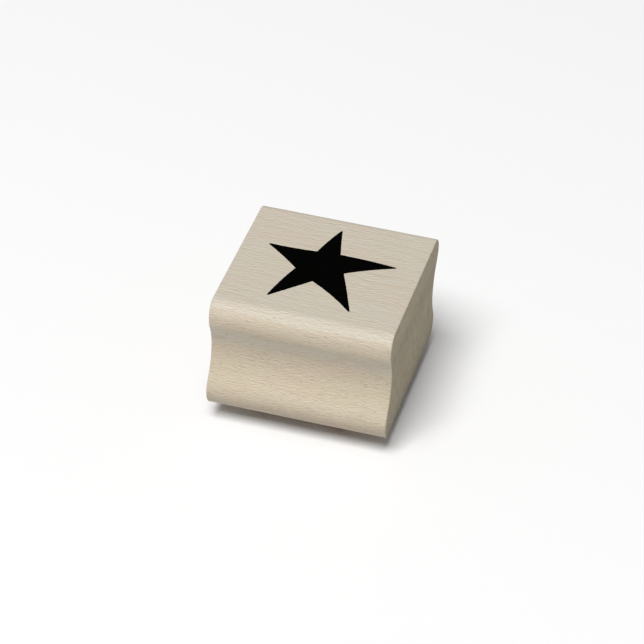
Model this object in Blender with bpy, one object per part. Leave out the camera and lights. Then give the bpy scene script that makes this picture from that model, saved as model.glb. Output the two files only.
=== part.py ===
"""Wood-mounted rubber stamp.

A length of hardwood grip moulding carries a star-shaped rubber die on a foam cushion, each stuck on with
a film of adhesive, and the same star is printed on the block's top to show how the die lies under it.

Lengths are in metres and +Z is up. The origin lies on the die's printing face, under the middle of the
block. +X follows the wood's grain, and -Y is the front.
"""

import math

import bpy
from mathutils import Vector

MM = 0.001

# Wood block
BLOCK_LENGTH = 38.1 * MM  # along the grain
BLOCK_DEPTH = 40.2 * MM  # over the two base beads
BLOCK_HEIGHT = 25.4 * MM
EDGE_ROUND = 0.3 * MM  # sanded edges of the two sawn ends

# Moulding on the front and the back: a rounded shoulder, a cove for the fingers and a flared base bead that
# run smoothly into each other. Each inset is measured in from the base bead's widest point.
TOP_INSET = 2.9 * MM  # where the flat top ends
SHOULDER_INSET = 0.3 * MM
SHOULDER_DROP = 3.2 * MM  # from the flat top down to the shoulder's widest point
SHOULDER_UNDER_RADIUS = 7.0 * MM  # below the shoulder's widest point
WAIST_INSET = 2.85 * MM  # the cove's narrowest point, midway between shoulder and bead
BEAD_RADIUS = 4.6 * MM
BEAD_HEIGHT = 3.4 * MM  # from the block's underside to the base bead's widest point

# Star, corner by corner anticlockwise from its top tip as it is printed: angle in degrees, reach of the
# corner from the star's centre, and how far the edge up to the next corner bows outwards
STAR_CORNERS = (
    (91, 15.1 * MM, 0.15 * MM),
    (119, 6.6 * MM, -0.2 * MM),
    (158.5, 14.7 * MM, -0.15 * MM),
    (193, 6.0 * MM, 0.2 * MM),
    (235, 15.6 * MM, 0.0),
    (255, 4.9 * MM, -0.4 * MM),
    (304.5, 15.7 * MM, 0.05 * MM),
    (359, 4.1 * MM, -0.3 * MM),
    (20.7, 15.3 * MM, 0.2 * MM),
    (74.5, 6.4 * MM, -0.05 * MM),
)
STAR_CENTRE = Vector((-0.25 * MM, -0.55 * MM))
TIP_ROUND = 0.2 * MM

# Rubber die
RELIEF_HEIGHT = 0.8 * MM  # raised star that takes the ink
RELIEF_SHOULDER = 0.35 * MM  # how far the relief widens up to the die's base
DIE_BASE_THICKNESS = 1.2 * MM
TRIM_MARGIN = 1.2 * MM  # rubber and foam left round the star when they are cut out

# Foam cushion and adhesive
CUSHION_THICKNESS = 1.6 * MM
FILM_THICKNESS = 0.1 * MM
FILM_GAP = 0.1 * MM  # clearance on each side of an adhesive film
GLUE_LINE = FILM_THICKNESS + 2 * FILM_GAP

# Printed star
PRINT_THICKNESS = 0.1 * MM
PRINT_GAP = 0.05 * MM

# Facets
ARC_STEP = math.radians(7.5)
STAR_EDGE_STEPS = 4
TIP_STEPS = 5
EDGE_ROUND_STEPS = 2

# Levels, from the printing face up
DIE_TOP = RELIEF_HEIGHT + DIE_BASE_THICKNESS
CUSHION_LEVEL = DIE_TOP + GLUE_LINE
CUSHION_TOP = CUSHION_LEVEL + CUSHION_THICKNESS
BLOCK_LEVEL = CUSHION_TOP + GLUE_LINE
BLOCK_TOP = BLOCK_LEVEL + BLOCK_HEIGHT


def clear_scene():
    for obj in list(bpy.data.objects):
        bpy.data.objects.remove(obj)


def material(name, colour, roughness):
    made = bpy.data.materials.new(name)
    made.use_nodes = True
    shader = made.node_tree.nodes["Principled BSDF"]
    shader.inputs["Base Color"].default_value = (*colour, 1.0)
    shader.inputs["Roughness"].default_value = roughness
    shader.inputs["Metallic"].default_value = 0.0
    return made


def direction(angle):
    return Vector((math.cos(angle), math.sin(angle)))


def heading(vector):
    """The angle of a 2D vector, from 0 up to a full turn."""
    return math.atan2(vector.y, vector.x) % math.tau


def arc(centre, radius, start, end):
    """Points on an arc, both ends included."""
    steps = max(2, math.ceil(abs(end - start) / ARC_STEP))
    return [centre + radius * direction(start + (end - start) * i / steps) for i in range(steps + 1)]


def cove_radius(waist, centre, radius):
    """Radius of the arc that stands upright at the waist and runs smoothly into a round on the block."""
    across, up = waist - centre
    return (across**2 + up**2 - radius**2) / (2 * (radius - across))


def moulding_side():
    """The moulding from the flat top down to the underside, as (out from the middle, up) points."""
    widest = BLOCK_DEPTH / 2
    crease = Vector((widest - TOP_INSET, BLOCK_HEIGHT))
    shoulder = Vector((widest - SHOULDER_INSET, BLOCK_HEIGHT - SHOULDER_DROP))
    waist = Vector((widest - WAIST_INSET, (shoulder.y + BEAD_HEIGHT) / 2))

    out, drop = shoulder.x - crease.x, crease.y - shoulder.y
    over_radius = (out**2 + drop**2) / (2 * out)
    over_centre = shoulder - Vector((over_radius, 0))
    over = arc(over_centre, over_radius, heading(crease - over_centre), 0)

    under_centre = shoulder - Vector((SHOULDER_UNDER_RADIUS, 0))
    upper_radius = cove_radius(waist, under_centre, SHOULDER_UNDER_RADIUS)
    upper_centre = waist + Vector((upper_radius, 0))
    under = arc(under_centre, SHOULDER_UNDER_RADIUS, 0, heading(upper_centre - under_centre) - math.tau)
    upper_cove = arc(upper_centre, upper_radius, heading(under_centre - upper_centre), math.pi)

    bead_centre = Vector((widest - BEAD_RADIUS, BEAD_HEIGHT))
    lower_radius = cove_radius(waist, bead_centre, BEAD_RADIUS)
    lower_centre = waist + Vector((lower_radius, 0))
    lower_cove = arc(lower_centre, lower_radius, math.pi, heading(bead_centre - lower_centre))
    bead_over = arc(bead_centre, BEAD_RADIUS, heading(lower_centre - bead_centre), 0)
    bead_under = arc(bead_centre, BEAD_RADIUS, 0, -math.asin(BEAD_HEIGHT / BEAD_RADIUS))

    side = over
    for stretch in (under, upper_cove, lower_cove, bead_over, bead_under):
        side += stretch[1:]
    return side


def star_outline():
    """The printed star's outline, anticlockwise about the middle of the block, with rounded tips."""
    corners = [STAR_CENTRE + reach * direction(math.radians(angle)) for angle, reach, _ in STAR_CORNERS]
    bows = [bow for _, _, bow in STAR_CORNERS]
    ends = []  # the outline's points at each corner
    for index, corner in enumerate(corners):
        is_notch = index % 2 == 1
        ends.append([corner] if is_notch else rounded_tip(corners[index - 1], corner, corners[index + 1]))
    outline = []
    for index, points in enumerate(ends):
        following = ends[(index + 1) % len(ends)][0]
        outline += points + bowed_edge(points[-1], following, bows[index])
    return outline


def rounded_tip(before, tip, after):
    """The arc of radius TIP_ROUND that replaces a tip, given the corners on each side of it."""
    inwards = ((before - tip).normalized() + (after - tip).normalized()).normalized()
    half_angle = inwards.angle(after - tip)
    centre = tip + inwards * TIP_ROUND / math.sin(half_angle)
    sweep = math.pi - 2 * half_angle
    middle = heading(-inwards)
    angles = [middle + sweep * (i / TIP_STEPS - 0.5) for i in range(TIP_STEPS + 1)]
    return [centre + TIP_ROUND * direction(angle) for angle in angles]


def bowed_edge(start, end, bow):
    """The points between two corners of an edge whose middle stands out by bow."""
    along = end - start
    outwards = Vector((along.y, -along.x)).normalized()
    shares = [i / STAR_EDGE_STEPS for i in range(1, STAR_EDGE_STEPS)]
    return [start + share * along + 4 * share * (1 - share) * bow * outwards for share in shares]


def grown(outline, margin):
    """An anticlockwise outline moved outwards by margin, corner by corner."""
    moved = []
    for index, here in enumerate(outline):
        incoming = here - outline[index - 1]
        outgoing = outline[(index + 1) % len(outline)] - here
        first, second = (Vector((edge.y, -edge.x)).normalized() for edge in (incoming, outgoing))
        moved.append(here + margin * (first + second) / (1 + first.dot(second)))
    return moved


def outline_curve(name, outline, thickness):
    """A flat plate with this outline, its thickness centred on the object's own XY plane."""
    curve = bpy.data.curves.new(name, "CURVE")
    curve.dimensions = "2D"
    curve.fill_mode = "BOTH"
    curve.extrude = thickness / 2
    spline = curve.splines.new("POLY")
    spline.points.add(len(outline) - 1)
    for point, place in zip(spline.points, outline):
        point.co = (place.x, place.y, 0, 1)
    spline.use_cyclic_u = True
    return bpy.data.objects.new(name, curve)


def plate(name, outline, level, thickness, finish):
    """A flat piece that lies with its underside at a level."""
    made = outline_curve(name, outline, thickness)
    made.location.z = level + thickness / 2
    made.data.materials.append(finish)
    return made


def wood_block(finish):
    """The moulding's section swept along the grain, with its sawn ends' edges sanded round."""
    front = moulding_side()
    section = [Vector((-out, up)) for out, up in front]
    section += [Vector((out, up)) for out, up in reversed(front)]
    made = outline_curve("wood_block", section, BLOCK_LENGTH - 2 * EDGE_ROUND)
    made.data.bevel_depth = EDGE_ROUND
    made.data.offset = -EDGE_ROUND
    made.data.bevel_resolution = EDGE_ROUND_STEPS
    made.rotation_euler = (math.pi / 2, 0, math.pi / 2)  # the section's X and Y become +Y and +Z
    made.location.z = BLOCK_LEVEL
    made.data.materials.append(finish)
    return made


def rubber_die(star, finish):
    """The star in relief, widening up to a base that is trimmed to the margin round it."""
    trimmed = grown(star, TRIM_MARGIN)
    relief_foot = grown(star, RELIEF_SHOULDER)
    sections = ((star, 0.0), (relief_foot, RELIEF_HEIGHT), (trimmed, RELIEF_HEIGHT), (trimmed, DIE_TOP))
    count = len(star)
    points = [(place.x, place.y, level) for outline, level in sections for place in outline]
    faces = [tuple(reversed(range(count))), tuple(range(len(points) - count, len(points)))]
    for low in range(0, len(points) - count, count):
        for index in range(count):
            following = (index + 1) % count
            faces.append((low + index, low + following, low + count + following, low + count + index))
    mesh = bpy.data.meshes.new("rubber_die")
    mesh.from_pydata(points, [], faces)
    mesh.materials.append(finish)
    return bpy.data.objects.new("rubber_die", mesh)


def main():
    clear_scene()
    star = star_outline()
    trimmed = grown(star, TRIM_MARGIN)

    wood = material("maple", (0.63, 0.55, 0.42), 0.6)
    ink = material("black_ink", (0.012, 0.012, 0.011), 0.55)
    foam = material("grey_foam", (0.42, 0.43, 0.44), 0.9)
    tape = material("clear_adhesive", (0.78, 0.74, 0.62), 0.3)
    rubber = material("red_rubber", (0.42, 0.11, 0.08), 0.55)

    pieces = (
        wood_block(wood),
        plate("printed_star", star, BLOCK_TOP + PRINT_GAP, PRINT_THICKNESS, ink),
        plate("upper_adhesive", trimmed, CUSHION_TOP + FILM_GAP, FILM_THICKNESS, tape),
        plate("foam_cushion", trimmed, CUSHION_LEVEL, CUSHION_THICKNESS, foam),
        plate("lower_adhesive", trimmed, DIE_TOP + FILM_GAP, FILM_THICKNESS, tape),
        rubber_die(star, rubber),
    )

    collection = bpy.data.collections.new("rubber_stamp")
    bpy.context.scene.collection.children.link(collection)
    stamp_frame = bpy.data.objects.new("stamp_frame", None)
    collection.objects.link(stamp_frame)
    for piece in pieces:
        collection.objects.link(piece)
        piece.parent = stamp_frame


main()
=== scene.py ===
"""The looks of the wood-mounted rubber stamp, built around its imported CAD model.

Every CAD node is replaced by a finer piece of the same size: the moulded maple block, the star printed on
it, the two adhesive films, the foam cushion and the rubber die. Lengths are in metres, apart from the
materials' patterns, which are in millimetres. +X follows the wood's grain, -Y is the front, +Z is up, and
the stamp stands on the die's printing face at Z = 0.
"""

import math

import bpy
from mathutils import Matrix, Vector, noise


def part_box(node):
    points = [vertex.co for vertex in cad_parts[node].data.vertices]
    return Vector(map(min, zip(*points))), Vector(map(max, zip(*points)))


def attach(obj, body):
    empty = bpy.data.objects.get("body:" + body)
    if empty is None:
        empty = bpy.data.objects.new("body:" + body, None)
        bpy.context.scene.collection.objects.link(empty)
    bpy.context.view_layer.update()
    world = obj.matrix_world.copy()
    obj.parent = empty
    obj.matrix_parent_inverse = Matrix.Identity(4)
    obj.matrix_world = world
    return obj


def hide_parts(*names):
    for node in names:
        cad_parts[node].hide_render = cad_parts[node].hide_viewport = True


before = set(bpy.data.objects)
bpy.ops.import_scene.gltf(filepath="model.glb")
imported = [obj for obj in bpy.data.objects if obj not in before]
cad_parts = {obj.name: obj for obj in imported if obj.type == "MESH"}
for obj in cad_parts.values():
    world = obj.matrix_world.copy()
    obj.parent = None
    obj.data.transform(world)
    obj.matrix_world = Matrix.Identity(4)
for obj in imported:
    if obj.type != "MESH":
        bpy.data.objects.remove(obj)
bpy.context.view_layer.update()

MM = 0.001

# Places and sizes that the frame gives
BLOCK_LOW, BLOCK_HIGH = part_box("wood_block")
CUSHION_LOW, CUSHION_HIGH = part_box("foam_cushion")
DIE_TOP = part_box("rubber_die")[1].z
BLOCK_DEPTH = BLOCK_HIGH.y - BLOCK_LOW.y
BLOCK_HEIGHT = BLOCK_HIGH.z - BLOCK_LOW.z

# Moulding, as the CAD model has it
TOP_INSET = 2.9 * MM
SHOULDER_INSET = 0.3 * MM
SHOULDER_DROP = 3.2 * MM
SHOULDER_UNDER_RADIUS = 7.0 * MM
WAIST_INSET = 2.85 * MM
BEAD_RADIUS = 4.6 * MM
BEAD_HEIGHT = 3.4 * MM
EDGE_ROUND = 0.3 * MM

# Star, as the CAD model has it: angle in degrees, reach, and how far the edge to the next corner bows out
STAR_CORNERS = (
    (91, 15.1 * MM, 0.15 * MM),
    (119, 6.6 * MM, -0.2 * MM),
    (158.5, 14.7 * MM, -0.15 * MM),
    (193, 6.0 * MM, 0.2 * MM),
    (235, 15.6 * MM, 0.0),
    (255, 4.9 * MM, -0.4 * MM),
    (304.5, 15.7 * MM, 0.05 * MM),
    (359, 4.1 * MM, -0.3 * MM),
    (20.7, 15.3 * MM, 0.2 * MM),
    (74.5, 6.4 * MM, -0.05 * MM),
)
STAR_CENTRE = Vector((-0.25 * MM, -0.55 * MM))
TIP_ROUND = 0.2 * MM
STAR_EDGE_STEPS = 4
TIP_STEPS = 5
RELIEF_HEIGHT = 0.8 * MM
RELIEF_SHOULDER = 0.35 * MM
TRIM_MARGIN = 1.2 * MM

# Sanded surface: the wavelengths of its unevenness along X, Y and Z, and how far it rises
BROAD_WAVES = (9 * MM, 4 * MM, 4 * MM)
BROAD_RISE = 0.02 * MM
NARROW_WAVES = (4 * MM, 0.9 * MM, 0.9 * MM)
NARROW_RISE = 0.005 * MM

# Printed film of ink
INK_HALF_THICKNESS = 0.035 * MM
INK_BEVEL = 0.02 * MM

# Cut side of the foam: its swelling between the glue lines, and how far each glue line draws it in
CUSHION_SWELL = 0.08 * MM
CUSHION_PINCH = 0.12 * MM

# Adhesive film: its inset from the foam's outline, and how far its edges are eased in and down
FILM_INSET = 0.1 * MM
FILM_EASE_IN = 0.04 * MM
FILM_EASE_DOWN = 0.08 * MM

# Side of the die's relief: share of the way out from the face to the foot, and share of the relief's height
RELIEF_SIDE = ((0.4, 0.45), (0.75, 0.8), (1.0, 0.93))

# Rest of the die's side: where the relief's side starts, where its fillet ends, how the edges are eased
FACE_DRAFT_SHARE = 0.05
FOOT_FILLET_SHARE = 0.3
DIE_EDGE_EASE = 0.06 * MM
DIE_CORNER_SHARE = 0.3
DIE_SIDE_DRAFT = 0.04 * MM

# How finely the visible pieces are divided
ARC_STEP = math.radians(3)
GRAIN_STEP = 0.5 * MM
ACROSS_STEP = 0.6 * MM
OUTLINE_STEP = 0.2 * MM
EDGE_STEPS = 4
CUSHION_STEPS = 12
SHARP_ANGLE = math.radians(35)

# Camera: what it looks at, and from where
CAMERA_AIM = Vector((-1.66 * MM, 5.37 * MM, 11.87 * MM))
CAMERA_DISTANCE = 654.4 * MM
CAMERA_AZIMUTH = math.radians(13.78)
CAMERA_ELEVATION = math.radians(36.20)
CAMERA_ROLL = math.radians(3.14)
CAMERA_FIELD = math.radians(11.763)
CAMERA_NEAREST = 10 * MM
CAMERA_FARTHEST = 20.0

# Light and floor
SOFTBOX_AZIMUTH = math.radians(-15)
SOFTBOX_ELEVATION = math.radians(64)
SOFTBOX_DISTANCE = 2.5
SOFTBOX_SIZE = 1.3
SOFTBOX_POWER = 69.0
SKY_STRENGTH = 0.22
FLOOR_REACH = 3.0
FLOOR_GAP = 0.02 * MM


# ---------------------------------------------------------------- outlines

def direction(angle):
    return Vector((math.cos(angle), math.sin(angle)))


def heading(vector):
    """The angle of a 2D vector, from 0 up to a full turn."""
    return math.atan2(vector.y, vector.x) % math.tau


def arc(centre, radius, start, end):
    """Points on an arc, both ends included."""
    steps = max(2, math.ceil(abs(end - start) / ARC_STEP))
    return [centre + radius * direction(start + (end - start) * i / steps) for i in range(steps + 1)]


def cove_radius(waist, centre, radius):
    """Radius of the arc that stands upright at the waist and runs smoothly into a round on the block."""
    across, up = waist - centre
    return (across**2 + up**2 - radius**2) / (2 * (radius - across))


def moulding_side():
    """The moulding from the flat top down to the underside, as (out from the middle, up) points."""
    widest = BLOCK_DEPTH / 2
    crease = Vector((widest - TOP_INSET, BLOCK_HEIGHT))
    shoulder = Vector((widest - SHOULDER_INSET, BLOCK_HEIGHT - SHOULDER_DROP))
    waist = Vector((widest - WAIST_INSET, (shoulder.y + BEAD_HEIGHT) / 2))

    out, drop = shoulder.x - crease.x, crease.y - shoulder.y
    over_radius = (out**2 + drop**2) / (2 * out)
    over_centre = shoulder - Vector((over_radius, 0))
    over = arc(over_centre, over_radius, heading(crease - over_centre), 0)

    under_centre = shoulder - Vector((SHOULDER_UNDER_RADIUS, 0))
    upper_radius = cove_radius(waist, under_centre, SHOULDER_UNDER_RADIUS)
    upper_centre = waist + Vector((upper_radius, 0))
    under = arc(under_centre, SHOULDER_UNDER_RADIUS, 0, heading(upper_centre - under_centre) - math.tau)
    upper_cove = arc(upper_centre, upper_radius, heading(under_centre - upper_centre), math.pi)

    bead_centre = Vector((widest - BEAD_RADIUS, BEAD_HEIGHT))
    lower_radius = cove_radius(waist, bead_centre, BEAD_RADIUS)
    lower_centre = waist + Vector((lower_radius, 0))
    lower_cove = arc(lower_centre, lower_radius, math.pi, heading(bead_centre - lower_centre))
    bead_over = arc(bead_centre, BEAD_RADIUS, heading(lower_centre - bead_centre), 0)
    bead_under = arc(bead_centre, BEAD_RADIUS, 0, -math.asin(BEAD_HEIGHT / BEAD_RADIUS))

    side = over
    for stretch in (under, upper_cove, lower_cove, bead_over, bead_under):
        side += stretch[1:]
    return side


def star_outline():
    """The star's outline, anticlockwise, with rounded tips."""
    corners = [STAR_CENTRE + reach * direction(math.radians(angle)) for angle, reach, _ in STAR_CORNERS]
    bows = [bow for _, _, bow in STAR_CORNERS]
    ends = []
    for index, corner in enumerate(corners):
        is_notch = index % 2 == 1
        ends.append([corner] if is_notch else rounded_tip(corners[index - 1], corner, corners[index + 1]))
    outline = []
    for index, points in enumerate(ends):
        following = ends[(index + 1) % len(ends)][0]
        outline += points + bowed_edge(points[-1], following, bows[index])
    return outline


def rounded_tip(before, tip, after):
    """The arc of radius TIP_ROUND that replaces a tip, given the corners on each side of it."""
    inwards = ((before - tip).normalized() + (after - tip).normalized()).normalized()
    half_angle = inwards.angle(after - tip)
    centre = tip + inwards * TIP_ROUND / math.sin(half_angle)
    sweep = math.pi - 2 * half_angle
    middle = heading(-inwards)
    angles = [middle + sweep * (i / TIP_STEPS - 0.5) for i in range(TIP_STEPS + 1)]
    return [centre + TIP_ROUND * direction(angle) for angle in angles]


def bowed_edge(start, end, bow):
    """The points between two corners of an edge whose middle stands out by bow."""
    along = end - start
    outwards = Vector((along.y, -along.x)).normalized()
    shares = [i / STAR_EDGE_STEPS for i in range(1, STAR_EDGE_STEPS)]
    return [start + share * along + 4 * share * (1 - share) * bow * outwards for share in shares]


def outward(outline, index):
    """The mitred outward direction at one point of an anticlockwise outline."""
    here = outline[index]
    incoming = here - outline[index - 1]
    outgoing = outline[(index + 1) % len(outline)] - here
    first, second = (Vector((edge.y, -edge.x)).normalized() for edge in (incoming, outgoing))
    return (first + second) / (1 + first.dot(second))


def grown(outline, margin):
    """An anticlockwise outline moved outwards by margin, corner by corner."""
    return [here + margin * outward(outline, index) for index, here in enumerate(outline)]


def divisions(outline):
    """How many parts each edge of an outline is divided into, to leave none longer than OUTLINE_STEP."""
    following = outline[1:] + outline[:1]
    return [math.ceil((end - start).length / OUTLINE_STEP) for start, end in zip(outline, following)]


def refined(outline, parts, rounds=6):
    """The outline with its edges divided into parts, and its corners eased by rounds of averaging."""
    following = outline[1:] + outline[:1]
    fine = [
        start.lerp(end, i / count)
        for start, end, count in zip(outline, following, parts)
        for i in range(count)
    ]
    for _ in range(rounds):
        fine = [
            (fine[i - 1] + 2 * fine[i] + fine[(i + 1) % len(fine)]) / 4
            for i in range(len(fine))
        ]
    return fine


def roughened(outline, amount, wavelength, seed):
    """A cut or printed edge: each point strays outwards or inwards by up to about amount."""
    rough = []
    for index, here in enumerate(outline):
        stray = amount * noise.noise(Vector((here.x / wavelength, here.y / wavelength, seed)))
        rough.append(here + stray * outward(outline, index))
    return rough


def between(inner, outer, share):
    """The outline a share of the way from one outline out to another of as many points."""
    return [near.lerp(far, share) for near, far in zip(inner, outer)]


# ---------------------------------------------------------------- meshes

def new_piece(name, points, faces, finish, replaced):
    """A smooth-shaded mesh that rides on the frame and stands for one CAD node."""
    mesh = bpy.data.meshes.new(name)
    mesh.from_pydata(points, [], faces)
    mesh.materials.append(finish)
    mesh.shade_smooth()
    mesh.set_sharp_from_angle(angle=SHARP_ANGLE)
    piece = bpy.data.objects.new(name, mesh)
    bpy.context.scene.collection.objects.link(piece)
    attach(piece, "root")
    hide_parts(replaced)
    return piece


def tube_faces(total, count):
    """The quads between neighbouring rings of count points each, out of a total of points."""
    faces = []
    for low in range(0, total - count, count):
        for index in range(count):
            following = (index + 1) % count
            faces.append((low + index, low + following, low + count + following, low + count + index))
    return faces


def loft(rings):
    """Points and faces of a closed solid through rings of equal length, listed from the bottom up."""
    count = len(rings[0])
    points = [point for ring in rings for point in ring]
    bottom = tuple(reversed(range(count)))
    top = tuple(range(len(points) - count, len(points)))
    return points, [bottom, top] + tube_faces(len(points), count)


def level_ring(outline, level):
    return [(place.x, place.y, level) for place in outline]


def block_stations():
    """Where the block's section is repeated along the grain, and how far it is inset there."""
    end = BLOCK_HIGH.x
    straight = end - EDGE_ROUND
    rounds = []
    for step in range(EDGE_STEPS + 1):
        turn = math.pi / 2 * step / EDGE_STEPS
        rounds.append((straight + EDGE_ROUND * math.sin(turn), EDGE_ROUND * (1 - math.cos(turn))))
    count = math.ceil(2 * straight / GRAIN_STEP)
    middle = [(-straight + 2 * straight * i / count, 0.0) for i in range(1, count)]
    return [(-x, inset) for x, inset in reversed(rounds)] + middle + rounds


def unevenness(point):
    """How far the sanded wood stands proud of its true surface at a point."""
    broad, narrow = (
        noise.noise(Vector([place / wavelength for place, wavelength in zip(point, waves)]))
        for waves in (BROAD_WAVES, NARROW_WAVES)
    )
    return BROAD_RISE * broad + NARROW_RISE * narrow


def block_section(side, columns):
    """The block's section, anticlockwise: down the front, under it, up the back and over the top."""
    shares = [2 * i / columns - 1 for i in range(1, columns)]
    front = [Vector((-out, up)) for out, up in side]
    back = [Vector((out, up)) for out, up in reversed(side)]
    underside = [Vector((side[-1].x * share, 0)) for share in shares]
    top = [Vector((side[0].x * share, BLOCK_HEIGHT)) for share in reversed(shares)]
    return front + underside + back + top


def block_mesh():
    """The moulded block as a grid of quads: a tube of sections, closed by a grid on each sawn end."""
    side = moulding_side()
    rows = len(side)
    columns = math.ceil(2 * side[0].x / ACROSS_STEP)
    section = block_section(side, columns)
    count = len(section)
    points = []
    for x, inset in block_stations():
        points += [Vector((x, place.x, BLOCK_LOW.z + place.y)) for place in grown(section, -inset)]
    faces = tube_faces(len(points), count)
    for ring, is_right in ((0, False), (len(points) - count, True)):
        grid = end_grid(points, ring, rows, columns, count)
        for lower, upper in zip(grid[1:], grid[:-1]):
            for i in range(columns):
                quad = (lower[i], lower[i + 1], upper[i + 1], upper[i])
                faces.append(quad if is_right else quad[::-1])
    return points, faces


def end_grid(points, ring, rows, columns, count):
    """Rows of point numbers that cover a sawn end, from the top down.

    The end's outline is the ring of count points that starts at point number ring. The points inside it are
    added to points.
    """
    top_row = [ring] + [ring + count - i for i in range(1, columns)] + [ring + count - columns]
    grid = [top_row]
    for row in range(1, rows - 1):
        left = ring + row
        right = ring + 2 * (rows - 1) + columns - row
        first = len(points)
        points += [points[left].lerp(points[right], i / columns) for i in range(1, columns)]
        grid.append([left, *range(first, len(points)), right])
    grid.append([ring + rows - 1 + i for i in range(columns + 1)])
    return grid


def make_block(finish):
    points, faces = block_mesh()
    mesh = new_piece("maple_block", points, faces, finish, "wood_block").data
    normals = [vertex.normal.copy() for vertex in mesh.vertices]
    for vertex, normal in zip(mesh.vertices, normals):
        vertex.co += unevenness(vertex.co) * normal


def make_print(star, parts, finish):
    """The inked star: a film that lies on the wood, with an edge that follows the fibres a little."""
    outline = roughened(refined(star, parts, rounds=0), amount=0.05 * MM, wavelength=0.45 * MM, seed=1.0)
    level = BLOCK_HIGH.z
    rings = [
        level_ring(outline, level - INK_HALF_THICKNESS),
        level_ring(outline, level + INK_HALF_THICKNESS - INK_BEVEL),
        level_ring(grown(outline, -INK_BEVEL), level + INK_HALF_THICKNESS),
    ]
    points, faces = loft(rings)
    new_piece("star_print", points, faces, finish, "printed_star")


def make_cushion(trimmed, parts, finish):
    """The die-cut foam: its cut side is drawn in at both glued faces and swells a little between them."""
    outline = roughened(refined(trimmed, parts), amount=0.08 * MM, wavelength=1.6 * MM, seed=2.0)
    height = CUSHION_HIGH.z - CUSHION_LOW.z
    rings = []
    for step in range(CUSHION_STEPS + 1):
        share = step / CUSHION_STEPS
        off_middle = abs(2 * share - 1)
        stand = CUSHION_SWELL * (1 - off_middle**2) - CUSHION_PINCH * off_middle**8
        rings.append(level_ring(grown(outline, stand), CUSHION_LOW.z + share * height))
    points, faces = loft(rings)
    piece = new_piece("cushion", points, faces, finish, "foam_cushion")


def make_film(name, trimmed, parts, low, high, seed, finish, replaced):
    """A film of adhesive that fills the glue line between two glued faces."""
    true_outline = refined(grown(trimmed, -FILM_INSET), parts)
    outline = roughened(true_outline, amount=0.06 * MM, wavelength=1.2 * MM, seed=seed)
    eased = grown(outline, -FILM_EASE_IN)
    rings = [
        level_ring(eased, low),
        level_ring(outline, low + FILM_EASE_DOWN),
        level_ring(outline, high - FILM_EASE_DOWN),
        level_ring(eased, high),
    ]
    points, faces = loft(rings)
    new_piece(name, points, faces, finish, replaced)


def make_die(star, trimmed, parts, finish):
    """The star in relief on its trimmed base, with eased edges and a fillet round the relief's foot."""
    face = refined(star, parts, rounds=1)
    foot = refined(grown(star, RELIEF_SHOULDER), parts, rounds=1)
    base = roughened(refined(trimmed, parts), amount=0.06 * MM, wavelength=1.8 * MM, seed=3.0)
    ease = DIE_EDGE_EASE
    corner = DIE_CORNER_SHARE * ease
    rings = [
        level_ring(grown(face, -ease), 0),
        level_ring(grown(face, -corner), corner),
        level_ring(between(face, foot, FACE_DRAFT_SHARE), ease),
    ]
    for out, up in RELIEF_SIDE:
        rings.append(level_ring(between(face, foot, out), up * RELIEF_HEIGHT))
    rings += [
        level_ring(between(foot, base, FOOT_FILLET_SHARE), RELIEF_HEIGHT),
        level_ring(grown(base, -ease), RELIEF_HEIGHT),
        level_ring(base, RELIEF_HEIGHT + ease),
        level_ring(grown(base, DIE_SIDE_DRAFT), DIE_TOP - ease),
        level_ring(grown(base, -ease), DIE_TOP),
    ]
    points, faces = loft(rings)
    new_piece("die", points, faces, finish, "rubber_die")


# ---------------------------------------------------------------- materials

# Spans of a noise's values that hold most of them, and nearly all of them
MOST = (0.25, 0.75)
NEARLY_ALL = (0.2, 0.8)


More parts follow.
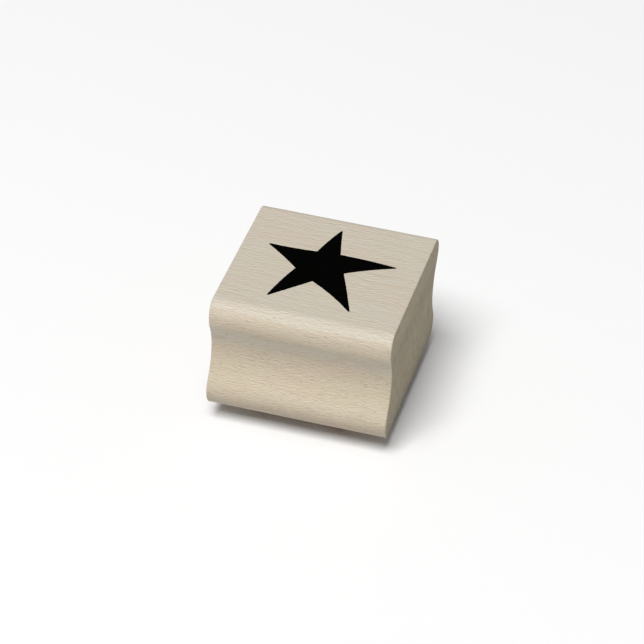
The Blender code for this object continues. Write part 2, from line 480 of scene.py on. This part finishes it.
class Shader:
    """A material's node tree, built from the object's own coordinates up to its Principled BSDF.

    Places are in millimetres. A pattern's bumps are how many it has in a millimetre along X, Y and Z.
    """

    def __init__(self, name):
        self.material = bpy.data.materials.new(name)
        self.material.use_nodes = True
        self.tree = self.material.node_tree
        self.surface = self.tree.nodes["Principled BSDF"]
        coordinates = self.tree.nodes.new("ShaderNodeTexCoord")
        self.normal = coordinates.outputs["Normal"]
        self.place = self.stretched(coordinates.outputs["Object"], (1 / MM, 1 / MM, 1 / MM))

    def node(self, kind, inputs, output=0, **settings):
        """A node with its settings and inputs, each a value or another node's output. Returns its output."""
        made = self.tree.nodes.new(kind)
        for name, value in settings.items():
            setattr(made, name, value)
        for key, value in inputs.items():
            self.feed(made.inputs[key], value)
        return made.outputs[output]

    def feed(self, socket, value):
        if isinstance(value, bpy.types.NodeSocket):
            self.tree.links.new(value, socket)
        else:
            socket.default_value = value

    def math(self, operation, *values):
        inputs = dict(enumerate(values))
        return self.node("ShaderNodeMath", inputs, operation=operation)

    def vector(self, operation, first, second):
        """A sum, product or cross product of two vectors."""
        return self.node("ShaderNodeVectorMath", {0: first, 1: second}, operation=operation)

    def scaled(self, vector, factor):
        """A vector or a colour times a factor."""
        return self.node("ShaderNodeVectorMath", {0: vector, "Scale": factor}, operation="SCALE")

    def split(self, vector):
        """The X, Y and Z of a vector."""
        made = self.tree.nodes.new("ShaderNodeSeparateXYZ")
        self.feed(made.inputs["Vector"], vector)
        return made.outputs

    def stretched(self, place, scale):
        return self.node("ShaderNodeMapping", {"Vector": place, "Scale": scale})

    def noise_at(self, place, detail=2.0, roughness=0.5, warp=0.0):
        """Noise from 0 to 1, with a bump in each unit of the place."""
        inputs = {"Vector": place, "Scale": 1.0}
        inputs |= {"Detail": detail, "Roughness": roughness, "Distortion": warp}
        return self.node("ShaderNodeTexNoise", inputs)

    def noise(self, bumps, **character):
        """Noise from 0 to 1."""
        return self.noise_at(self.stretched(self.place, bumps), **character)

    def streaks(self, bumps):
        """Fine streaks round 0, with no broad patches: noise less its average a step to each side."""
        along = (1.0, 0.0, 0.0)
        across = self.vector("CROSS_PRODUCT", along, self.normal)
        middle = self.stretched(self.place, bumps)
        levels = []
        for reach in (-0.5, 0.0, 0.5):
            place = self.vector("ADD", middle, self.scaled(across, reach))
            levels.append(self.noise_at(place, detail=1.0, roughness=0.7))
        before, here, after = levels
        return self.math("MULTIPLY_ADD", self.math("ADD", before, after), -0.5, here)

    def cells(self, bumps, **settings):
        """Distance from the middle of the nearest cell, or as the settings say."""
        inputs = {"Vector": self.stretched(self.place, bumps), "Scale": 1.0}
        return self.node("ShaderNodeTexVoronoi", inputs, **settings)

    def sway(self, bumps, reach):
        """Shift all later patterns across the grain by up to about reach, so that straight lines wave."""
        shift = self.spread(self.noise(bumps), MOST, (-reach, reach))
        offset = self.node("ShaderNodeCombineXYZ", {"Y": shift, "Z": shift})
        self.place = self.vector("ADD", self.place, offset)

    def spread(self, value, span, target=(0.0, 1.0)):
        """The value's span, spread smoothly over a target span and held outside it."""
        inputs = {"Value": value}
        inputs["From Min"], inputs["From Max"] = span
        inputs["To Min"], inputs["To Max"] = target
        return self.node("ShaderNodeMapRange", inputs, interpolation_type="SMOOTHSTEP")

    def mix(self, share, first, second, blend="MIX"):
        """Two colours mixed, or otherwise blended, by a share from 0 to 1."""
        inputs = {0: share, 6: self.opaque(first), 7: self.opaque(second)}
        return self.node("ShaderNodeMix", inputs, output=2, data_type="RGBA", blend_type=blend)

    def opaque(self, colour):
        return (*colour, 1.0) if isinstance(colour, tuple) else colour

    def bump(self, height, depth):
        """Relief of a depth in metres where height goes from 0 to 1."""
        inputs = {"Height": height, "Distance": depth, "Strength": 1.0}
        self.feed(self.surface.inputs["Normal"], self.node("ShaderNodeBump", inputs))

    def finish(self, **values):
        """The material, once these inputs of its surface are fed."""
        for name, value in values.items():
            self.feed(self.surface.inputs[name.replace("_", " ")], value)
        return self.material


# Wood colours
PALE_MAPLE = (0.525, 0.480, 0.395)
PINK_MAPLE = (0.532, 0.468, 0.388)
GOLD_MAPLE = (0.525, 0.476, 0.380)
WARM_TINT = (0.975, 0.925, 0.855)
LATE_WOOD = (0.47, 0.385, 0.29)
DASH_BROWN = (0.33, 0.235, 0.165)
END_GRAIN = (0.370, 0.330, 0.230)
END_GRAIN_BROWN = (0.375, 0.305, 0.212)

# Wood patterns: bumps in a millimetre along X, Y and Z
PINK_BUMPS = (0.07, 0.18, 0.18)
GOLD_BUMPS = (0.09, 0.26, 0.26)
END_PATCH_BUMPS = (0.1, 0.16, 0.10)
SWAY_BUMPS = (0.12, 0.25, 0.25)
FIBRE_BUMPS = (0.6, 2.3, 2.3)
FLECK_BUMPS = (0.8, 2.7, 2.7)
FINE_DASH_BUMPS = (0.6, 3.3, 3.3)
BOLD_DASH_BUMPS = (0.45, 1.9, 1.9)
RAY_BUMPS = (0.6, 0.9, 0.55)
SAW_MARK_BUMPS = (0.5, 0.10, 2.4)

# Spans of the patterns' values, from where they begin to show to where they show in full
PINK_SPAN = (0.44, 0.66)
GOLD_SPAN = (0.44, 0.68)
END_PATCH_SPAN = (0.42, 0.65)
FINE_DASH_SPAN = (0.42, 0.14)
BOLD_DASH_SPAN = (0.23, 0.11)
END_ON_SPAN = (0.3, 0.9)

# Growth rings: their width, how they slant along the grain and bow round a height, and how they stray
RING_WIDTH = 2.3
RING_SLANT = 0.035
RING_BOW = 0.012
RING_BOW_HEIGHT = 9.0
RING_WANDER_BUMPS = (0.035, 0.10, 0.10)
RING_WANDER = 2.2
RING_JITTER_BUMPS = (0.12, 0.5, 0.5)
RING_JITTER = 0.2
LATE_WOOD_SHARPNESS = 5.0

# Belts of the sides, by height over the underside: where each fades in from above, where it fades out below,
# and its amount
WARM_SHOULDER = ((25.0, 22.5), (18.5, 20.0), 0.85)
# Painted shade: the cove just under the shoulder is darkened, where the shoulder shades it
PAINTED_SHADE_UNDER_SHOULDER = ((20.5, 18.5), (13.5, 16.5), -0.06)
# Painted highlight: the shoulder is made lighter, as if the key light caught it
PAINTED_SHOULDER_HIGHLIGHT = ((25.3, 24.0), (18.5, 21.0), 0.05)

# Heights across which the lower side turns warm and the painted shade at the foot fades out, and how dark
# that painted shade is
WARM_LOWER_SIDE = (17.0, 13.5)
PAINTED_FOOT_SHADE = (1.0, 4.5)
PAINTED_FOOT_SHADE_AMOUNT = -0.17

# How far each pattern makes the wood lighter or darker
FIBRES_ON_TOP = 0.92
FLECKS_ON_SIDES = 0.88
RINGS_ON_ENDS = -0.10
RAYS_ON_ENDS = (-0.13, 0.13)
SAW_MARKS_ON_ENDS = (-0.03, 0.07)
FINE_DASHES = -0.06
FINE_DASHES_MORE_ON_SIDES = -0.07

# How much of its colour each pattern lends the wood
END_PATCH_SHARES = (0.1, 0.8)
LATE_WOOD_SHARE = 0.50
BOLD_DASHES = 0.15
BOLD_DASHES_MORE_ON_SIDES = 0.45

# Wood surface
SWAY_REACH = 0.25
WOOD_RELIEF = 0.008 * MM
WOOD_ROUGHNESS = (0.62, 0.72)
ROUGHER_ON_ENDS = 0.2


def face_weights(shader):
    """How far a point of the surface faces along X, Y and Z, each from 0 to 1, from its own normal."""
    return shader.split(shader.vector("MULTIPLY", shader.normal, shader.normal))


def wood_height(shader):
    """Height over the block's underside."""
    return shader.math("SUBTRACT", shader.split(shader.place)["Z"], BLOCK_LOW.z / MM)


def belt(shader, height, upper_fade, lower_fade, amount):
    """An amount that holds in a belt of heights, and fades to 0 above and below it."""
    below_top = shader.spread(height, upper_fade)
    above_foot = shader.spread(height, lower_fade, (0.0, amount))
    return shader.math("MULTIPLY", below_top, above_foot)


def growth_rings(shader):
    """Growth rings, as 0 in early wood up to 1 at the end of each ring. They stand nearly across Y."""
    x, y, z = shader.split(shader.place)
    wander = shader.spread(shader.noise(RING_WANDER_BUMPS), NEARLY_ALL, (-RING_WANDER, RING_WANDER))
    jitter = shader.spread(shader.noise(RING_JITTER_BUMPS), NEARLY_ALL, (-RING_JITTER, RING_JITTER))
    rise = shader.math("SUBTRACT", z, RING_BOW_HEIGHT)
    bow = shader.math("MULTIPLY", shader.math("MULTIPLY", rise, rise), RING_BOW)
    slant = shader.math("MULTIPLY_ADD", x, RING_SLANT, y)
    depth = shader.math("ADD", shader.math("ADD", slant, bow), shader.math("ADD", wander, jitter))
    share = shader.math("FRACT", shader.math("DIVIDE", depth, RING_WIDTH))
    return shader.math("POWER", share, LATE_WOOD_SHARPNESS)


def wood_colour(shader, end_on, height, rings):
    """Pale maple in soft pink and golden patches, warmer low on the sides, browner on the sawn ends."""
    pink = shader.spread(shader.noise(PINK_BUMPS, warp=0.5), PINK_SPAN)
    gold = shader.spread(shader.noise(GOLD_BUMPS, detail=3.0, warp=0.5), GOLD_SPAN)
    colour = shader.mix(pink, PALE_MAPLE, PINK_MAPLE)
    colour = shader.mix(gold, colour, GOLD_MAPLE)
    warm_shoulder = belt(shader, height, *WARM_SHOULDER)
    warmth = shader.math("ADD", warm_shoulder, shader.spread(height, WARM_LOWER_SIDE))
    colour = shader.mix(warmth, colour, WARM_TINT, "MULTIPLY")
    colour = shader.mix(shader.math("MULTIPLY", rings, LATE_WOOD_SHARE), colour, LATE_WOOD)
    patches = shader.spread(shader.noise(END_PATCH_BUMPS), END_PATCH_SPAN, END_PATCH_SHARES)
    end_colour = shader.mix(patches, END_GRAIN, END_GRAIN_BROWN)
    return shader.mix(shader.spread(end_on, END_ON_SPAN), colour, end_colour)


def painted_side_light(shader, height):
    """How much lighter or darker the sides are: painted shade under the shoulder, a painted highlight on the
    shoulder, and painted shade at the foot.
    """
    # Painted shade under the shoulder
    under_shoulder_shade = belt(shader, height, *PAINTED_SHADE_UNDER_SHOULDER)
    # Painted highlight on the shoulder
    shoulder_highlight = belt(shader, height, *PAINTED_SHOULDER_HIGHLIGHT)
    # Painted shade at the foot, darkest at the underside near the floor
    foot = shader.spread(height, PAINTED_FOOT_SHADE, (PAINTED_FOOT_SHADE_AMOUNT, 0.0))
    return shader.math("ADD", shader.math("ADD", under_shoulder_shade, shoulder_highlight), foot)


def end_tone(shader, rings):
    """How much lighter or darker the sawn ends are: growth rings, rays and saw marks."""
    rays = shader.noise(RAY_BUMPS, detail=4.0, roughness=0.7)
    saw_marks = shader.noise(SAW_MARK_BUMPS, roughness=0.7)
    sawn = shader.spread(saw_marks, MOST, SAW_MARKS_ON_ENDS)
    ringed = shader.math("MULTIPLY_ADD", rings, RINGS_ON_ENDS, sawn)
    return shader.math("ADD", shader.spread(rays, MOST, RAYS_ON_ENDS), ringed)


def wood_finish():
    """Sanded maple: long lines on top, short dashes on the sides, rings, rays and saw marks on the ends."""
    s = Shader("sanded_maple")
    end_on, side_on, top_on = face_weights(s)
    height = wood_height(s)
    rings = growth_rings(s)
    colour = wood_colour(s, end_on, height, rings)

    s.sway(SWAY_BUMPS, SWAY_REACH)
    fibres = s.streaks(FIBRE_BUMPS)
    flecks = s.streaks(FLECK_BUMPS)
    fine_dashes = s.spread(s.cells(FINE_DASH_BUMPS), FINE_DASH_SPAN)
    bold_dashes = s.spread(s.cells(BOLD_DASH_BUMPS), BOLD_DASH_SPAN)

    bold_share = s.math("MULTIPLY_ADD", side_on, BOLD_DASHES_MORE_ON_SIDES, BOLD_DASHES)
    colour = s.mix(s.math("MULTIPLY", bold_dashes, bold_share), colour, DASH_BROWN)
    on_top = s.math("MULTIPLY", s.math("MULTIPLY", fibres, FIBRES_ON_TOP), top_on)
    on_side = s.math("MULTIPLY", s.math("MULTIPLY", flecks, FLECKS_ON_SIDES), side_on)
    on_end = s.math("MULTIPLY", end_tone(s, rings), end_on)
    fine_amount = s.math("MULTIPLY_ADD", side_on, FINE_DASHES_MORE_ON_SIDES, FINE_DASHES)
    dashed = s.math("MULTIPLY", fine_dashes, fine_amount)
    grain = s.math("ADD", s.math("ADD", on_top, on_side), s.math("ADD", on_end, dashed))
    # The side light adds painted shade under the shoulder and at the foot, and a painted highlight on the
    # shoulder
    tone = s.math("ADD", s.math("ADD", grain, painted_side_light(s, height)), 1.0)

    s.bump(s.math("MULTIPLY_ADD", flecks, side_on, fibres), WOOD_RELIEF)
    sanded = s.spread(fibres, (-0.3, 0.3), WOOD_ROUGHNESS)
    roughness = s.math("MULTIPLY_ADD", end_on, ROUGHER_ON_ENDS, sanded)
    return s.finish(Base_Color=s.scaled(colour, tone), Roughness=roughness, Specular_IOR_Level=0.5)


INK_BLACK = (0.0008, 0.0008, 0.0007)
INK_THIN = (0.0022, 0.0021, 0.0018)
INK_BUMPS = (0.12, 3.0, 3.0)
INK_RELIEF = 0.008 * MM
INK_ROUGHNESS = (0.75, 0.9)


def ink_finish():
    """Matt black ink, thinner over the raised fibres of the wood."""
    s = Shader("black_ink")
    fibres = s.noise(INK_BUMPS, detail=3.0, roughness=0.6)
    colour = s.mix(s.spread(fibres, (0.5, 0.8)), INK_BLACK, INK_THIN)
    s.bump(fibres, INK_RELIEF)
    roughness = s.spread(fibres, NEARLY_ALL, INK_ROUGHNESS)
    return s.finish(Base_Color=colour, Roughness=roughness, Specular_IOR_Level=0.01)


# Foam colours: the cell walls, and the cell hollows painted darker as shade
FOAM_WALLS = (0.50, 0.51, 0.52)
FOAM_CELL_HOLLOW_SHADE = (0.33, 0.34, 0.35)
FOAM_CELL_BUMPS = (4.2, 4.2, 4.2)
FOAM_WALL_SPAN = (0.0, 0.22)
FOAM_DRIFT_BUMPS = (0.3, 0.3, 0.3)
FOAM_DRIFT = (0.92, 1.06)
FOAM_RELIEF = 0.05 * MM


def foam_finish():
    """Closed-cell foam, grey, with cells of about a quarter of a millimetre, whose hollows are painted
    darker as shade.
    """
    s = Shader("grey_foam")
    from_wall = s.cells(FOAM_CELL_BUMPS, feature="DISTANCE_TO_EDGE")
    depth = s.spread(from_wall, FOAM_WALL_SPAN)
    # Painted shade: the deeper into a cell's hollow, the darker
    colour = s.mix(depth, FOAM_WALLS, FOAM_CELL_HOLLOW_SHADE)
    drift = s.spread(s.noise(FOAM_DRIFT_BUMPS), (0.3, 0.7), FOAM_DRIFT)
    s.bump(s.math("SUBTRACT", 1.0, depth), FOAM_RELIEF)
    return s.finish(Base_Color=s.scaled(colour, drift), Roughness=0.92, Specular_IOR_Level=0.2)


FILM_CREAM = (0.72, 0.69, 0.58)
FILM_PALE = (0.80, 0.78, 0.70)
FILM_BUMPS = (0.8, 0.8, 4.0)
FILM_RELIEF = 0.01 * MM
FILM_ROUGHNESS = (0.25, 0.4)


def adhesive_finish():
    """A clear film that has taken a cream tint at its cut edge."""
    s = Shader("clear_adhesive")
    haze = s.noise(FILM_BUMPS, detail=3.0)
    colour = s.mix(s.spread(haze, (0.35, 0.65)), FILM_CREAM, FILM_PALE)
    s.bump(haze, FILM_RELIEF)
    return s.finish(Base_Color=colour, Roughness=s.spread(haze, (0.3, 0.7), FILM_ROUGHNESS))


RUBBER_RED = (0.40, 0.085, 0.06)
RUBBER_BLOOM = (0.50, 0.20, 0.16)
TOOTH_BUMPS = (7.0, 7.0, 7.0)
TOOTH_SHADES = (0.93, 1.06)
BLOOM_BUMPS = (0.5, 0.5, 0.5)
BLOOM_SPAN = (0.42, 0.75)
BLOOM_SHARES = (0.0, 0.35)
RUBBER_RELIEF = 0.012 * MM
RUBBER_ROUGHNESS = (0.5, 0.65)


def rubber_finish():
    """Moulded red rubber with a fine tooth and a faint dusty bloom."""
    s = Shader("red_rubber")
    tooth = s.noise(TOOTH_BUMPS, roughness=0.6)
    bloom = s.spread(s.noise(BLOOM_BUMPS, detail=4.0, roughness=0.6), BLOOM_SPAN, BLOOM_SHARES)
    colour = s.mix(bloom, RUBBER_RED, RUBBER_BLOOM)
    colour = s.scaled(colour, s.spread(tooth, NEARLY_ALL, TOOTH_SHADES))
    s.bump(tooth, RUBBER_RELIEF)
    roughness = s.spread(tooth, (0.3, 0.7), RUBBER_ROUGHNESS)
    return s.finish(Base_Color=colour, Roughness=roughness, Specular_IOR_Level=0.4)


def floor_finish():
    pale_grey = (0.85, 0.85, 0.85, 1.0)
    return Shader("pale_floor").finish(Base_Color=pale_grey, Roughness=0.9, Specular_IOR_Level=0.0)


# ---------------------------------------------------------------- stage

def make_floor():
    """A plain pale floor, large enough to fill the view, a hair below the die's printing face."""
    mesh = bpy.data.meshes.new("floor")
    corners = [(x * FLOOR_REACH, y * FLOOR_REACH, 0) for x, y in ((-1, -1), (1, -1), (1, 1), (-1, 1))]
    mesh.from_pydata(corners, [], [(0, 1, 2, 3)])
    mesh.materials.append(floor_finish())
    floor = bpy.data.objects.new("floor", mesh)
    floor.location.z = -FLOOR_GAP
    bpy.context.scene.collection.objects.link(floor)


def sky_direction(azimuth, elevation):
    """The direction from the stamp towards a light or the camera. Azimuth 0 is the front, 90 the right."""
    level = math.cos(elevation)
    return Vector((math.sin(azimuth) * level, -math.cos(azimuth) * level, math.sin(elevation)))


def make_softbox():
    light = bpy.data.lights.new("key", "AREA")
    light.shape = "SQUARE"
    light.size = SOFTBOX_SIZE
    light.energy = SOFTBOX_POWER
    holder = bpy.data.objects.new("key", light)
    towards = sky_direction(SOFTBOX_AZIMUTH, SOFTBOX_ELEVATION)
    holder.location = SOFTBOX_DISTANCE * towards
    holder.rotation_euler = towards.to_track_quat("Z", "Y").to_euler()
    bpy.context.scene.collection.objects.link(holder)


def make_sky():
    world = bpy.data.worlds.new("studio")
    world.use_nodes = True
    background = world.node_tree.nodes["Background"]
    background.inputs["Color"].default_value = (1.0, 1.0, 1.0, 1.0)
    background.inputs["Strength"].default_value = SKY_STRENGTH
    bpy.context.scene.world = world


def make_camera():
    back = sky_direction(CAMERA_AZIMUTH, CAMERA_ELEVATION)
    level = Vector((math.cos(CAMERA_AZIMUTH), math.sin(CAMERA_AZIMUTH), 0))
    upright = back.cross(level)
    roll = Matrix.Rotation(CAMERA_ROLL, 3, back)
    turn = Matrix((roll @ level, roll @ upright, back)).transposed()
    camera = bpy.data.cameras.new("camera")
    camera.angle = CAMERA_FIELD
    camera.clip_start = CAMERA_NEAREST
    camera.clip_end = CAMERA_FARTHEST
    holder = bpy.data.objects.new("camera", camera)
    holder.matrix_world = Matrix.Translation(CAMERA_AIM + CAMERA_DISTANCE * back) @ turn.to_4x4()
    bpy.context.scene.collection.objects.link(holder)
    bpy.context.scene.camera = holder


def make_stamp():
    star = star_outline()
    trimmed = grown(star, TRIM_MARGIN)
    parts = divisions(trimmed)
    film = adhesive_finish()
    make_block(wood_finish())
    make_print(star, parts, ink_finish())
    make_cushion(trimmed, parts, foam_finish())
    make_die(star, trimmed, parts, rubber_finish())
    make_film("upper_film", trimmed, parts, CUSHION_HIGH.z, BLOCK_LOW.z, 4.0, film, "upper_adhesive")
    make_film("lower_film", trimmed, parts, DIE_TOP, CUSHION_LOW.z, 5.0, film, "lower_adhesive")


make_camera()
make_sky()
make_softbox()
make_floor()
make_stamp()
bpy.context.scene.view_settings.view_transform = "Standard"
